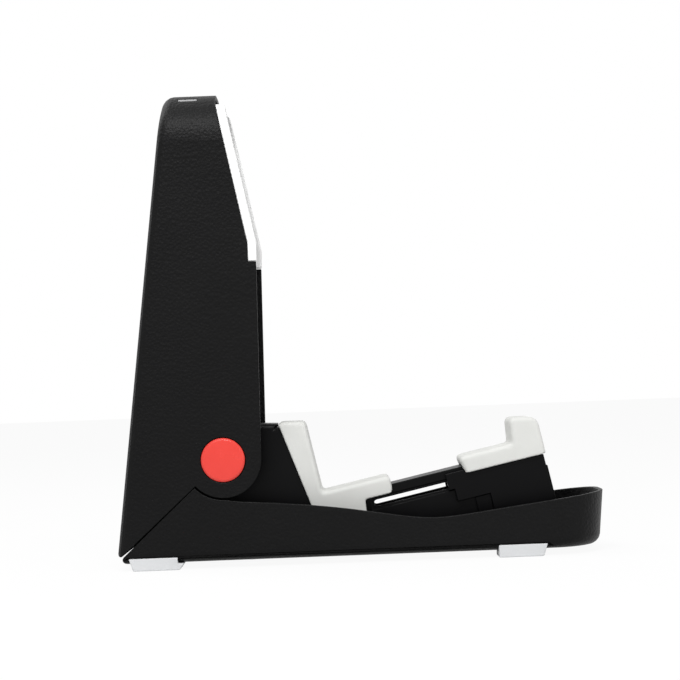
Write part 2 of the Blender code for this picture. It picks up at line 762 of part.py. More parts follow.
def inset(outline, distance):
    """The outline with each edge moved in; the points run clockwise."""
    moved = []
    count = len(outline)
    for i in range(count):
        (x0, z0), (x1, z1), (x2, z2) = outline[i - 1], outline[i], outline[(i + 1) % count]
        a = math.hypot(x1 - x0, z1 - z0)
        b = math.hypot(x2 - x1, z2 - z1)
        n0 = ((z1 - z0) / a, -(x1 - x0) / a)
        n1 = ((z2 - z1) / b, -(x2 - x1) / b)
        scale = distance / (1 + n0[0] * n1[0] + n0[1] * n1[1])
        moved.append((x1 + (n0[0] + n1[0]) * scale, z1 + (n0[1] + n1[1]) * scale))
    return moved


def cradle_body():
    body = slab("cradle_body", body_outline(BODY_FLOOR), BODY_HALF, back)
    def shoulder(middle, faces):
        high = middle.z > HUMP_HEIGHT - SHOULDER_DEPTH
        return high and soft_edges(BODY_HALF)(middle, faces)
    round_edges(body, shoulder, BODY_SHOULDER, 4)
    arm_side = [tray(BODY_FRONT - 2 * WALL, ARM_TOP), tray(ARM_END, ARM_TOP),
                tray_at_height(ARM_END, BODY_FLOOR), tray_at_height(BODY_FRONT - 2 * WALL, BODY_FLOOR)]
    joined(body, slab("arm", arm_side, ARM_HALF, back, True))
    shelf_top = -SKIN - GAP
    shelf = [tray(BODY_FRONT - WALL, shelf_top), tray(SEAT_END - SKIN - GAP, shelf_top),
             tray(SEAT_END - SKIN - GAP, shelf_top - SHELF_DEPTH),
             tray(BODY_FRONT - WALL, shelf_top - SHELF_DEPTH)]
    joined(body, slab("shelf", shelf, BODY_HALF, back, True))
    baked(body)
    low = -HEIGHT / 4
    cut(body, slab("body_hollow", inset(body_outline(low), BODY_WALL), BODY_HALF - BODY_WALL, back, True))
    arm_hollow = [tray(BODY_FRONT + BODY_WALL, ARM_TOP - BODY_WALL),
                  tray(ARM_END - BODY_WALL, ARM_TOP - BODY_WALL),
                  tray_at_height(ARM_END - BODY_WALL, low), tray_at_height(BODY_FRONT + BODY_WALL, low)]
    cut(body, slab("arm_hollow", arm_hollow, ARM_HALF - BODY_WALL, back, True))
    baked(body)
    hub = BOLT_RADIUS + 2 * GAP + BUSH_WALL
    joined(body, rod("hub", PIVOT_BACK, PIVOT_HEIGHT, hub + HUB_WALL, -BODY_HALF + GAP,
                     BODY_HALF - GAP, back, True))
    for x, y in screw_places():
        joined(body, post("screw_boss", x, y, SCREW_BOSS, BODY_FLOOR + GAP, BODY_FLOOR + SCREW_BOSS_HEIGHT,
                          back, True))
    baked(body)
    cut(body, rod("hub_bore", PIVOT_BACK, PIVOT_HEIGHT, hub, -HALF, HALF, back, True))
    for x, y in screw_places():
        cut(body, post("boss_bore", x, y, SCREW_RADIUS + GAP, 0, BODY_FLOOR + SCREW_LENGTH, back, True))
    radius = SLOT_HEIGHT / 2
    end = PIN_FRONT + PIN_RADIUS + GAP
    slot = (arc(SLOT_START + radius, SLOT_V, radius, 270, 90, 8) +
            arc(end - radius, SLOT_V, radius, 90, -90, 8))
    cut(body, slab("arm_slot", [tray(u, v) for u, v in slot], HALF, back, True))
    edge = (GROOVE_HEIGHT - SLOT_HEIGHT) / 2
    groove = [tray(SLOT_START - edge, SLOT_V - radius - edge), tray(ARM_END + 1, SLOT_V - radius - edge),
              tray(ARM_END + 1, SLOT_V + radius + edge), tray(SLOT_START - edge, SLOT_V + radius + edge)]
    for side in (-1, 1):
        a, b = sorted((side * (ARM_HALF - GROOVE_DEPTH), side * (ARM_HALF + GAP)))
        cut(body, extruded("arm_groove", groove, -b, -a, SIDE, back, True))
    return done(body, cradle_black)


def pad_back_line(z):
    """The back edge of the cradle pad's side, at a height."""
    return HUMP_FRONT_X + (PAD_HEIGHT - z) * PAD_BACK_SLOPE


def soft_edges(half):
    """Edges round the two side faces, above the pad's lower edge."""
    def chosen(middle, faces):
        outer = [abs(face.normal.y) > 0.999 for face in faces]
        return outer[0] != outer[1] and abs(abs(middle.y) - half) < 0.01
    return chosen


def cradle_pad():
    """A soft L-shaped saddle, open behind and below."""
    side = rounded([(HUMP_FRONT_X, PAD_HEIGHT, PAD_CREST_BACK),
                    (*tray_at_height(0, PAD_HEIGHT), PAD_CREST_FRONT), (*tray(0, 0), PAD_INNER),
                    (*tray(SEAT_END, 0), PAD_END), (*tray(SEAT_END, -SEAT_SIDE), PAD_END_LOW),
                    tray(PAD_STEP, -SEAT_SIDE), tray_at_height(PAD_STEP - PAD_STEP_SLANT, PAD_FOOT),
                    (pad_back_line(PAD_FOOT), PAD_FOOT)])
    pad = slab("cradle_pad", side, PAD_HALF, back)
    def chosen(middle, faces):
        above = middle.z > tray(0, -SEAT_SIDE)[1] + (middle.x - TRAY_X) * math.tan(SLOPE) + 0.5
        on_back = abs(middle.x - pad_back_line(middle.z)) < 0.5
        return soft_edges(PAD_HALF)(middle, faces) and above and not on_back
    round_edges(pad, chosen, PAD_ROUND, 3)
    inner = max(BODY_HALF, SLEEVE_HALF) + GAP
    core = [(0, PAD_HEIGHT - SKIN), tray_at_height(-SKIN, PAD_HEIGHT - SKIN), tray(-SKIN, -SKIN),
            tray(SEAT_END - SKIN, -SKIN), tray_at_height(SEAT_END - SKIN, -10), (0, -10)]
    cut(pad, slab("pad_core", core, inner, back, True))
    passage = [tray(BODY_FRONT, CHEEK_TOP + RUNNING), tray(SEAT_END + 5, CHEEK_TOP + RUNNING),
               tray(SEAT_END + 5, -50), tray(BODY_FRONT, -50)]
    cut(pad, slab("cheek_passage", passage, inner, back, True))
    mouth = [tray(BODY_FRONT, ARM_TOP + GAP), tray(SEAT_END + 5, ARM_TOP + GAP),
             tray(SEAT_END + 5, -50), tray(BODY_FRONT, -50)]
    cut(pad, slab("arm_passage", mouth, ARM_HALF + GAP, back, True))
    return done(pad, pad_white)


def cradle_screw(number, x, y):
    """A pan-head screw up through the floor."""
    head_top = FLOOR_GAP - GAP
    screw = post("cradle_screw_%d" % number, x, y, SCREW_RADIUS, head_top - SCREW_HEAD / 2,
                 BODY_FLOOR + SCREW_LENGTH - GAP, back, sides=16)
    joined(screw, post("screw_head", x, y, SCREW_HEAD_RADIUS, head_top - SCREW_HEAD, head_top,
                       back, True))
    return done(screw, steel)


# Slider, drawn along the arm

def sleeve_outline():
    face = HOOK_FACE + SKIN + GAP
    lean = math.tan(math.radians(HOOK_LEAN))
    crest = HOOK_TOP - SKIN - GAP
    fall = math.tan(SLOPE)
    front = HOOK_FRONT - SKIN + GAP
    return rounded([(SLEEVE_BACK, CHEEK_TOP), (HOOK_BACK + SKIN + GAP, CHEEK_TOP),
                    (HOOK_BACK + SKIN + GAP, SLEEVE_TOP), (face, SLEEVE_TOP),
                    (face + (crest - HOOK_SEAT) * lean, crest, POST_CREST),
                    (front, crest - (front - face) * fall, POST_NOSE),
                    (front, HOOK_SIDE - GAP), (SLEEVE_FRONT, HOOK_SIDE - GAP),
                    (SLEEVE_FRONT, CHEEK_STEP + APRON_RISE), (SLEEVE_APRON, CHEEK_STEP + APRON_RISE),
                    (SLEEVE_APRON, BLOCK_FOOT), (SLEEVE_BLOCK, BLOCK_FOOT),
                    (SLEEVE_BLOCK, CHEEK_FOOT), (SLEEVE_STEP, CHEEK_FOOT),
                    (SLEEVE_STEP, CHEEK_STEP), (SLEEVE_BACK, CHEEK_STEP)])


def slider_sleeve():
    sleeve = slab("slider_sleeve", sleeve_outline(), SLEEVE_HALF, arm)
    lap = ARM_END - SKIRT_LAP
    skirt = [(lap, CHEEK_FOOT + SKIRT_LAP), (SLEEVE_BLOCK + SKIRT_LAP, CHEEK_FOOT + SKIRT_LAP),
             (SLEEVE_BLOCK + SKIRT_LAP, BLOCK_FOOT + GAP), (lap, BLOCK_FOOT + GAP)]
    baked(joined(sleeve, slab("sleeve_skirt", skirt, SLEEVE_INNER + SKIRT_WALL, arm, True)))
    under = ARM_TOP + GAP
    inside = SLEEVE_FRONT - SLEEVE_FRONT_WALL
    below = BLOCK_FOOT * 2
    hollow = [(0, under), (inside, under), (inside, below), (0, below)]
    cut(sleeve, slab("sleeve_hollow", hollow, SLEEVE_INNER, arm, True))
    open_top = [(0, HOOK_TOP), (HOOK_BACK + SKIN + GAP, HOOK_TOP), (HOOK_BACK + SKIN + GAP, under - 1),
                (0, under - 1)]
    cut(sleeve, slab("sleeve_open", open_top, SLEEVE_INNER, arm, True))
    for u in (PIN_FRONT - PIN_SPACING, PIN_FRONT):
        cut(sleeve, rod("pin_hole", u, SLOT_V, PIN_RADIUS + GAP, -PIN_REACH - GAP,
                        PIN_REACH + GAP, arm, True, 16))
    return done(sleeve, cradle_black)


def hook_pad():
    """A soft cap over the sleeve's top and round the hook's post."""
    lean = math.tan(math.radians(HOOK_LEAN))
    fall = math.tan(SLOPE)
    crest_u = HOOK_FACE + (HOOK_TOP - HOOK_SEAT) * lean
    side = rounded([(HOOK_BACK + HOOK_TUCK, HOOK_SIDE), (HOOK_BACK, HOOK_SEAT, HOOK_HEEL),
                    (HOOK_FACE, HOOK_SEAT, HOOK_INNER), (crest_u, HOOK_TOP, HOOK_CREST),
                    (HOOK_FRONT, HOOK_TOP - (HOOK_FRONT - crest_u) * fall, HOOK_NOSE),
                    (HOOK_FRONT, HOOK_SIDE)])
    pad = slab("hook_pad", side, PAD_HALF, arm)
    def chosen(middle, faces):
        return soft_edges(PAD_HALF)(middle, faces) and middle.z > HOOK_SIDE + 0.5
    round_edges(pad, chosen, PAD_ROUND, 3)
    face = HOOK_FACE + SKIN
    crest = HOOK_TOP - SKIN
    front = HOOK_FRONT - SKIN + 2 * GAP
    below = HOOK_SIDE * 2
    core = rounded([(HOOK_BACK + SKIN, below), (HOOK_BACK + SKIN, SLEEVE_TOP + GAP),
                    (face, SLEEVE_TOP + GAP), (face + (crest - HOOK_SEAT) * lean, crest, POST_CREST),
                    (front, crest - (front - face) * fall, POST_NOSE), (front, below)])
    cut(pad, slab("hook_core", core, SLEEVE_HALF + GAP, arm, True))
    for top, half in ((CHEEK_TOP + GAP, SLEEVE_HALF + GAP), (ARM_TOP + GAP, ARM_HALF + GAP)):
        mouth = [(0, top), (HOOK_BACK + SKIN * 2, top), (HOOK_BACK + SKIN * 2, BLOCK_FOOT), (0, BLOCK_FOOT)]
        cut(pad, slab("hook_mouth", mouth, half, arm, True))
    return done(pad, pad_white)


def guide_pin(name, u):
    """A steel pin that runs in the arm's slot, set blind in both cheeks."""
    return done(rod(name, u, SLOT_V, PIN_RADIUS, -PIN_REACH, PIN_REACH, arm, sides=16), steel)


base_shell()
cradle_body()
cradle_pad()
for screw_number, (screw_x, screw_y) in enumerate(screw_places(), 1):
    cradle_screw(screw_number, screw_x, screw_y)
for foot_name, foot_x, foot_side in foot_places():
    foot(foot_name, foot_x, foot_side)
upright_shell()
for pad_side, hand_word in ((-1, "left"), (1, "right")):
    edge_pad("edge_pad_" + hand_word, pad_side)
    crown_plug("crown_plug_" + hand_word, pad_side)
hinge_hardware()
slider_sleeve()
hook_pad()
guide_pin("guide_pin_front", PIN_FRONT)
guide_pin("guide_pin_rear", PIN_FRONT - PIN_SPACING)
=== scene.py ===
import json
import math

import bmesh
import bpy
from mathutils import Euler, Matrix, Vector

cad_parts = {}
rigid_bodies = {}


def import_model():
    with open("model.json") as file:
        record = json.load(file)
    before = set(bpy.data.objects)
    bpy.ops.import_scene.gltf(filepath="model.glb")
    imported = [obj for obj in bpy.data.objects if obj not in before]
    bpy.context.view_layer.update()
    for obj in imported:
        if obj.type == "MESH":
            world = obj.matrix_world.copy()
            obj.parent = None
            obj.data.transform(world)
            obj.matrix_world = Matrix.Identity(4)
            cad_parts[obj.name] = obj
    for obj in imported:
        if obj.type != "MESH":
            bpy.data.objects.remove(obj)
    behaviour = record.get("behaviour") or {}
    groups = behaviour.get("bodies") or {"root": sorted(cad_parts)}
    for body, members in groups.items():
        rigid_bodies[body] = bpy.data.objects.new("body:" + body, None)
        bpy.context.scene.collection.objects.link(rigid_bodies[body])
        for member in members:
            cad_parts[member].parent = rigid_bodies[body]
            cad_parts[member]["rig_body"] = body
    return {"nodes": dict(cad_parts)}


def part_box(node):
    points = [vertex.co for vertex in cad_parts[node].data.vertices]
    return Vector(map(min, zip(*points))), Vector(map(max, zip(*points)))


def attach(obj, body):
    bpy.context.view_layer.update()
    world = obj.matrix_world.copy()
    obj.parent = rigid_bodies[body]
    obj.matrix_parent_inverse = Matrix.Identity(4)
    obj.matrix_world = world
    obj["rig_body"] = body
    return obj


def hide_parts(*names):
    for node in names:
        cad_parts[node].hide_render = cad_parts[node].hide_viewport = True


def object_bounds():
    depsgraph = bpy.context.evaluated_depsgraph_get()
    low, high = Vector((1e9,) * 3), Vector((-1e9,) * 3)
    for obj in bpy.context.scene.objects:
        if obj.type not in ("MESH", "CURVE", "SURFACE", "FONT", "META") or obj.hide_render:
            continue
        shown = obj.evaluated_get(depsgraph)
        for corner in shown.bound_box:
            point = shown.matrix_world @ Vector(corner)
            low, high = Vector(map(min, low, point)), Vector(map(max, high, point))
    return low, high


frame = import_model()
cad_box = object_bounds()

# Camera. It stands square to the stand's near side, a little above the hinge, as in a
# catalogue picture, and is rolled a little, so that the floor rises to the right.
PICTURE = 680              # pixels, both ways
LENS_X = 338               # the pixel that the lens looks at, before the shift
LENS_Y = 383
EYE_X = -0.012
EYE_HEIGHT = 0.1086
DISTANCE = 1.09            # from the lens to the near side wall
VIEW_WIDTH = 0.408         # seen across the picture at that wall
SENSOR = 36.0
ROLL = math.radians(2.2)

near_wall = cad_box[0][1]
camera_data = bpy.data.cameras.new("picture_camera")
camera_data.sensor_width = SENSOR
camera_data.lens = SENSOR * DISTANCE / VIEW_WIDTH
camera_data.shift_x = (PICTURE / 2 - LENS_X) / PICTURE
camera_data.shift_y = (LENS_Y - PICTURE / 2) / PICTURE
camera = bpy.data.objects.new("picture_camera", camera_data)
camera.location = (EYE_X, near_wall - DISTANCE, EYE_HEIGHT)
look = Euler((math.pi / 2, 0, 0)).to_matrix() @ Matrix.Rotation(-ROLL, 3, "Z")
camera.rotation_euler = look.to_euler()
bpy.context.scene.collection.objects.link(camera)
bpy.context.scene.camera = camera


# Shells. Base and upright are channels of black ABS with 2.5 mm walls, moulded against a
# grained tool, so the outer skin looks like leather. Rims and corners are eased.
MM = 0.001
SHELL_BLACK = (0.0012, 0.0012, 0.0013)
SHELL_WORN = (0.0040, 0.0040, 0.0042)
SHELL_GLOSS = 0.13
SHELL_ROUGHNESS = 0.34
PATCH_ROUGHNESS = 0.12     # added where the skin is worn
CREASE_ROUGHNESS = 0.06
PATCHES = 28               # per metre, the wide changes of tone
PEBBLES = 560              # per metre, the grain's larger cells
CREASES = 1700             # per metre, the fine lines between them
PATCH_TONE = 0.6           # how much each lightens the black
PEBBLE_TONE = 0.35
PEBBLE_RISE = 0.75         # how much each lifts the grain
CREASE_RISE = 0.45
GRAIN_DEPTH = 0.34 * MM
GRAIN_STRENGTH = 0.85
SHELL_EASE = 0.45 * MM
NOISE_ROUGHNESS = 0.55     # the share of a noise's finer octaves
WELD = 0.002 * MM
FLAT_BELOW = math.radians(0.6)
SMOOTH_BELOW = math.radians(34)

# Sockets of a Mix node that mixes colours
MIX_SHARE = 0
MIX_LOW = 6
MIX_HIGH = 7
MIX_RESULT = 2


class Value:
    """A number that changes over a surface; sums and products add their nodes."""

    def __init__(self, socket):
        self.socket = socket

    def maths(self, operation, first, second):
        tree = Nodes(self.socket.node.id_data)
        return tree.node("ShaderNodeMath", {"operation": operation}, {0: first, 1: second})

    def __add__(self, other):
        return self.maths("ADD", self, other)

    __radd__ = __add__

    def __mul__(self, other):
        return self.maths("MULTIPLY", self, other)

    __rmul__ = __mul__


def feed(socket, value):
    """Link a Value to a socket, or set the socket to a plain value."""
    if isinstance(value, Value):
        value.socket.node.id_data.links.new(value.socket, socket)
    else:
        socket.default_value = value


class Nodes:
    """A node tree, with one way to add a node to it."""

    def __init__(self, tree):
        self.tree = tree

    def node(self, kind, settings, sockets, output=0):
        node = self.tree.nodes.new(kind)
        for name, value in settings.items():
            setattr(node, name, value)
        for name, value in sockets.items():
            feed(node.inputs[name], value)
        return Value(node.outputs[output])


class Finish(Nodes):
    """A material with one Principled shader; sockets that stay constant are set here."""

    def __init__(self, name, **constants):
        self.material = bpy.data.materials.new(name)
        self.material.use_nodes = True
        super().__init__(self.material.node_tree)
        self.shader = self.tree.nodes["Principled BSDF"]
        for socket, value in constants.items():
            self.shader.inputs[socket.replace("_", " ")].default_value = value

    def texture(self, kind, sockets, output=0):
        place = self.node("ShaderNodeTexCoord", {}, {}, "Object")
        return self.node(kind, {}, {"Vector": place, **sockets}, output)

    def noise(self, scale, detail):
        sockets = {"Scale": scale, "Detail": detail, "Roughness": NOISE_ROUGHNESS}
        return self.texture("ShaderNodeTexNoise", sockets)

    def cells(self, scale):
        return self.texture("ShaderNodeTexVoronoi", {"Scale": scale}, "Distance")

    def between(self, share, low, high):
        """A colour between two, by a share from 0 to 1."""
        sockets = {MIX_SHARE: share, MIX_LOW: (*low, 1.0), MIX_HIGH: (*high, 1.0)}
        return self.node("ShaderNodeMix", {"data_type": "RGBA"}, sockets, MIX_RESULT)

    def relief(self, height, depth, strength):
        sockets = {"Height": height, "Distance": depth, "Strength": strength}
        feed(self.shader.inputs["Normal"], self.node("ShaderNodeBump", {}, sockets))

    def surface(self, colour, roughness):
        feed(self.shader.inputs["Base Color"], colour)
        feed(self.shader.inputs["Roughness"], roughness)
        return self.material

    def mottled(self, mottle, low, high, roughness, spread):
        """The tone runs from low to high, and the roughness grows by spread, with the mottle."""
        return self.surface(self.between(mottle, low, high), roughness + mottle * spread)


def copy_of(node, name):
    """A new object with a node's mesh, its flat faces whole again."""
    mesh = frame["nodes"][node].data.copy()
    mesh.materials.clear()
    work = bmesh.new()
    work.from_mesh(mesh)
    bmesh.ops.remove_doubles(work, verts=work.verts, dist=WELD)
    bmesh.ops.dissolve_limit(work, angle_limit=FLAT_BELOW, verts=work.verts, edges=work.edges)
    bmesh.ops.recalc_face_normals(work, faces=work.faces)
    work.to_mesh(mesh)
    work.free()
    piece = bpy.data.objects.new(name, mesh)
    bpy.context.scene.collection.objects.link(piece)
    return piece


def stands_for(piece, node, material):
    """The piece rides where its node does, hides it and takes its slot and finish."""
    piece.data.materials.append(material)
    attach(piece, frame["nodes"][node]["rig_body"])
    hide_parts(node)


def moulding(node, name, material, ease, steps=2):
    """A hard moulding: the node's form with every sharp edge eased."""
    piece = copy_of(node, name)
    piece.data.shade_smooth()
    piece.data.set_sharp_from_angle(angle=SMOOTH_BELOW)
    bevel = piece.modifiers.new("eased edges", "BEVEL")
    bevel.limit_method = "ANGLE"
    bevel.angle_limit = SMOOTH_BELOW
    bevel.width = ease
    bevel.segments = steps
    bevel.use_clamp_overlap = False
    flat = piece.modifiers.new("flat faces stay flat", "WEIGHTED_NORMAL")
    flat.keep_sharp = True
    stands_for(piece, node, material)


shell_finish = Finish("black grained ABS", Specular_IOR_Level=SHELL_GLOSS)
pebble = shell_finish.cells(PEBBLES)
crease = shell_finish.noise(CREASES, detail=2.0)
patch = shell_finish.noise(PATCHES, detail=4.0)
shell_finish.relief(pebble * PEBBLE_RISE + crease * CREASE_RISE, GRAIN_DEPTH, GRAIN_STRENGTH)
tone = shell_finish.between(patch * PATCH_TONE + pebble * PEBBLE_TONE, SHELL_BLACK, SHELL_WORN)
wear = SHELL_ROUGHNESS + patch * PATCH_ROUGHNESS + crease * CREASE_ROUGHNESS
shell_skin = shell_finish.surface(tone, wear)

moulding("base_shell", "base_moulding", shell_skin, SHELL_EASE)
moulding("upright_shell", "upright_moulding", shell_skin, SHELL_EASE)


# Feet. Four blocks of white rubber stand under the base's corners; each has a lip that
# laps up into a notch of the side wall and a peg through the floor.
FOOT_WHITE = (0.62, 0.63, 0.64)
FOOT_GREY = (0.70, 0.71, 0.72)
FOOT_GLOSS = 0.35
FOOT_ROUGHNESS = 0.52
FOOT_SPREAD = 0.12
FOOT_MOTTLE = 60           # per metre
FOOT_GRAIN = 2600          # per metre
FOOT_GRAIN_DEPTH = 0.08 * MM
FOOT_GRAIN_STRENGTH = 0.35
FOOT_EASE = 0.6 * MM
FOOT_EASE_STEPS = 3

foot_finish = Finish("white rubber", Specular_IOR_Level=FOOT_GLOSS)
foot_patch = foot_finish.noise(FOOT_MOTTLE, detail=3.0)
foot_finish.relief(foot_finish.noise(FOOT_GRAIN, detail=2.0), FOOT_GRAIN_DEPTH, FOOT_GRAIN_STRENGTH)
foot_skin = foot_finish.mottled(foot_patch, FOOT_WHITE, FOOT_GREY, FOOT_ROUGHNESS, FOOT_SPREAD)
for corner in ("rear_left", "rear_right", "front_left", "front_right"):
    moulding("foot_" + corner, "rubber_foot_" + corner, foot_skin, FOOT_EASE, FOOT_EASE_STEPS)


# Cradle. One hollow black ABS moulding with the hinge barrel, the hump behind the pad and
# the slotted arm. It is smooth, without the shells' grain, and is screwed from below.
CRADLE_BLACK = (0.0010, 0.0010, 0.0012)
CRADLE_GREY = (0.0026, 0.0026, 0.0030)
CRADLE_GLOSS = 0.10
CRADLE_ROUGHNESS = 0.30
CRADLE_SPREAD = 0.14
CRADLE_MOTTLE = 45         # per metre
CRADLE_GRAIN = 1500        # per metre
CRADLE_GRAIN_DEPTH = 0.05 * MM
CRADLE_GRAIN_STRENGTH = 0.3
CRADLE_EASE = 0.4 * MM

cradle_finish = Finish("black smooth ABS", Specular_IOR_Level=CRADLE_GLOSS)
cradle_patch = cradle_finish.noise(CRADLE_MOTTLE, detail=4.0)
cradle_grain = cradle_finish.noise(CRADLE_GRAIN, detail=3.0)
cradle_finish.relief(cradle_grain, CRADLE_GRAIN_DEPTH, CRADLE_GRAIN_STRENGTH)
cradle_skin = cradle_finish.mottled(cradle_patch, CRADLE_BLACK, CRADLE_GREY,
                                    CRADLE_ROUGHNESS, CRADLE_SPREAD)
moulding("cradle_body", "cradle_moulding", cradle_skin, CRADLE_EASE)


# Sleeve. A second moulding of the same smooth black ABS slides along the cradle's arm and
# holds the post inside the hook's cap.
moulding("slider_sleeve", "sleeve_moulding", cradle_skin, CRADLE_EASE)


# Pads. The cradle's saddle and the hook's cap are moulded from soft white foam with a
# closed skin, so no edge of them is crisp. Each is pushed over the part that it covers.
PAD_WHITE = (0.66, 0.665, 0.64)
PAD_PALE = (0.74, 0.745, 0.72)
FOAM_GLOSS = 0.30
FOAM_ROUGHNESS = 0.50
FOAM_SPREAD = 0.15
FOAM_MOTTLE = 70           # per metre
SKIN_CELLS = 3200          # per metre
SKIN_MOTTLE_RISE = 0.5
SKIN_DEPTH = 0.06 * MM
SKIN_STRENGTH = 0.4
PAD_GRID = 0.6 * MM
PAD_PASSES = 8             # the more passes, the rounder the edges
RELAX = 0.5


def foam(name, low, high):
    """Closed-skin foam: faint cells, a soft mottle and little gloss."""
    finish = Finish(name, Specular_IOR_Level=FOAM_GLOSS)
    mottle = finish.noise(FOAM_MOTTLE, detail=4.0)
    finish.relief(finish.cells(SKIN_CELLS) + mottle * SKIN_MOTTLE_RISE, SKIN_DEPTH, SKIN_STRENGTH)
    return finish.mottled(mottle, low, high, FOAM_ROUGHNESS, FOAM_SPREAD)


def soft_pad(node, name, material, passes):
    """A soft moulding: the node's form rebuilt on a fine grid, with its edges relaxed."""
    piece = copy_of(node, name)
    remesh = piece.modifiers.new("even skin", "REMESH")
    remesh.mode = "VOXEL"
    remesh.voxel_size = PAD_GRID
    remesh.use_smooth_shade = True
    relax = piece.modifiers.new("soft edges", "SMOOTH")
    relax.factor = RELAX
    relax.iterations = passes
    stands_for(piece, node, material)


pad_skin = foam("soft white foam", PAD_WHITE, PAD_PALE)
soft_pad("cradle_pad", "cradle_saddle", pad_skin, PAD_PASSES)
soft_pad("hook_pad", "hook_cap", pad_skin, PAD_PASSES)


# Rim strips. Two whiter strips of the same kind of foam lie in the front rims of the
# upright's walls, with a tongue behind the rim that holds them.
STRIP_WHITE = (0.86, 0.86, 0.855)
STRIP_PALE = (0.91, 0.91, 0.905)
STRIP_PASSES = 5

strip_skin = foam("soft white strip", STRIP_WHITE, STRIP_PALE)
for hand in ("left", "right"):
    soft_pad("edge_pad_" + hand, "rim_strip_" + hand, strip_skin, STRIP_PASSES)


# Crown inserts. A short plug of the strips' material fills the slot in each shoulder of
# the upright's crown; a flange inside keeps it there. Its grey is painted shade: the strips' white
# darkened to the slot's shadowed look.
# painted shade: these greys stand in for the shadow in the slot, not the foam's own white
INSERT_SHADE_GREY = (0.26, 0.26, 0.265)
INSERT_SHADE_PALE = (0.38, 0.38, 0.385)
INSERT_EASE = 0.3 * MM

shaded_insert_skin = foam("insert foam with painted shade", INSERT_SHADE_GREY, INSERT_SHADE_PALE)
for hand in ("left", "right"):
    moulding("crown_plug_" + hand, "crown_insert_" + hand, shaded_insert_skin, INSERT_EASE)


# Hinge discs. A glossy red ABS disc snaps over each end of the bolt, in a recess of the
# upright's wall. It is turned with a bevelled rim and a slightly domed, plain middle.
DISC_RED = (0.80, 0.055, 0.040)
DISC_DEEP = (0.74, 0.046, 0.034)
DISC_GLOSS = 0.30
DISC_ROUGHNESS = 0.22
DISC_SPREAD = 0.08
DISC_COAT = 0.08
DISC_COAT_SPREAD = 0.10
DISC_COAT_ROUGHNESS = 0.12
DISC_MOTTLE = 110          # per metre
DISC_RIPPLE = 900          # per metre
DISC_RIPPLE_DEPTH = 0.02 * MM
DISC_RIPPLE_STRENGTH = 0.2
DISC_SIDES = 128
DISC_WELD = 0.01 * MM
DISC_BEVEL = 0.9 * MM      # width of the sloped rim
DISC_LAND = 0.4 * MM       # between the dome and the sloped rim
DOME_FALL = 0.35 * MM      # from the middle to the land
DOME_STEPS = 14
BEVEL_TOP = 0.5 * MM       # these three are depths below the crown
BEVEL_FOOT = 1.1 * MM
RIM_TOP = 1.4 * MM
RIM_ROUND = 0.25 * MM      # how far in the slope's foot is

disc_finish = Finish("glossy red ABS", Specular_IOR_Level=DISC_GLOSS, Coat_Roughness=DISC_COAT_ROUGHNESS)
disc_patch = disc_finish.noise(DISC_MOTTLE, detail=3.0)
feed(disc_finish.shader.inputs["Coat Weight"], DISC_COAT + disc_patch * DISC_COAT_SPREAD)
disc_finish.relief(disc_finish.noise(DISC_RIPPLE, detail=2.0), DISC_RIPPLE_DEPTH, DISC_RIPPLE_STRENGTH)
disc_skin = disc_finish.mottled(disc_patch, DISC_DEEP, DISC_RED, DISC_ROUGHNESS, DISC_SPREAD)


def disc_section(radius, seat, crown):
    """Half a section of a disc, from the middle of its dome round to the middle of its seat."""
    dome_radius = radius - DISC_BEVEL - DISC_LAND
    section = []
    for step in range(DOME_STEPS + 1):
        share = step / DOME_STEPS
        section.append((dome_radius * share, crown - DOME_FALL * share ** 2))
    section.append((radius - DISC_BEVEL, crown - BEVEL_TOP))
    section.append((radius - RIM_ROUND, crown - BEVEL_FOOT))
    section.append((radius, crown - RIM_TOP))
    section.append((radius, seat))
    section.append((0, seat))
    return section


def hinge_disc(hand, side):
    """The section turned about the bolt's axis; side is -1 on the near wall and 1 on the far."""
    low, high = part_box("pivot_cap_" + hand)
    seat, crown = (low.y, high.y) if side > 0 else (-high.y, -low.y)
    points = [(out, 0, up) for out, up in disc_section((high.x - low.x) / 2, seat, crown)]
    mesh = bpy.data.meshes.new("hinge_disc_" + hand)
    mesh.from_pydata(points, [(i, i + 1) for i in range(len(points) - 1)], [])
    disc = bpy.data.objects.new("hinge_disc_" + hand, mesh)
    bpy.context.scene.collection.objects.link(disc)
    turn = disc.modifiers.new("turned", "SCREW")
    turn.steps = DISC_SIDES
    turn.render_steps = DISC_SIDES
    turn.use_merge_vertices = True
    turn.merge_threshold = DISC_WELD
    turn.use_normal_calculate = True
    bpy.context.view_layer.update()
    ready = disc.evaluated_get(bpy.context.evaluated_depsgraph_get())
    solid = bpy.data.meshes.new_from_object(ready)
    disc.modifiers.clear()
    centre = Vector(((low.x + high.x) / 2, 0, (low.z + high.z) / 2))
    solid.transform(Matrix.Translation(centre) @ Matrix.Rotation(-side * math.pi / 2, 4, "X"))
    solid.materials.clear()
    disc.data = solid
    solid.shade_smooth()
    solid.set_sharp_from_angle(angle=SMOOTH_BELOW)
    stands_for(disc, "pivot_cap_" + hand, disc_skin)


hinge_disc("left", -1)
hinge_disc("right", 1)


# Hardware. A zinc-plated bolt and nut clamp the hinge through nylon spacers and fibre
# washers; screws hold the cradle, and two pins run in the arm's slot.
STEEL_DARK = (0.48, 0.48, 0.49)
STEEL_BRIGHT = (0.62, 0.62, 0.63)
STEEL_ROUGHNESS = 0.26
STEEL_MOTTLE = 160         # per metre, as the next two
NYLON_MOTTLE = 90
FIBRE_MOTTLE = 140
NYLON_DEEP = (0.66, 0.65, 0.60)
NYLON_PALE = (0.72, 0.71, 0.67)
NYLON_ROUGHNESS = 0.45
FIBRE_BLACK = (0.05, 0.05, 0.05)
FIBRE_GREY = (0.09, 0.09, 0.09)
FIBRE_ROUGHNESS = 0.62
STOCK_SPREAD = 0.12
TOOL_MARKS = 9             # to one patch of the mottle
TOOL_DEPTH = 0.03 * MM
TOOL_STRENGTH = 0.3
HARDWARE_EASE = 0.2 * MM


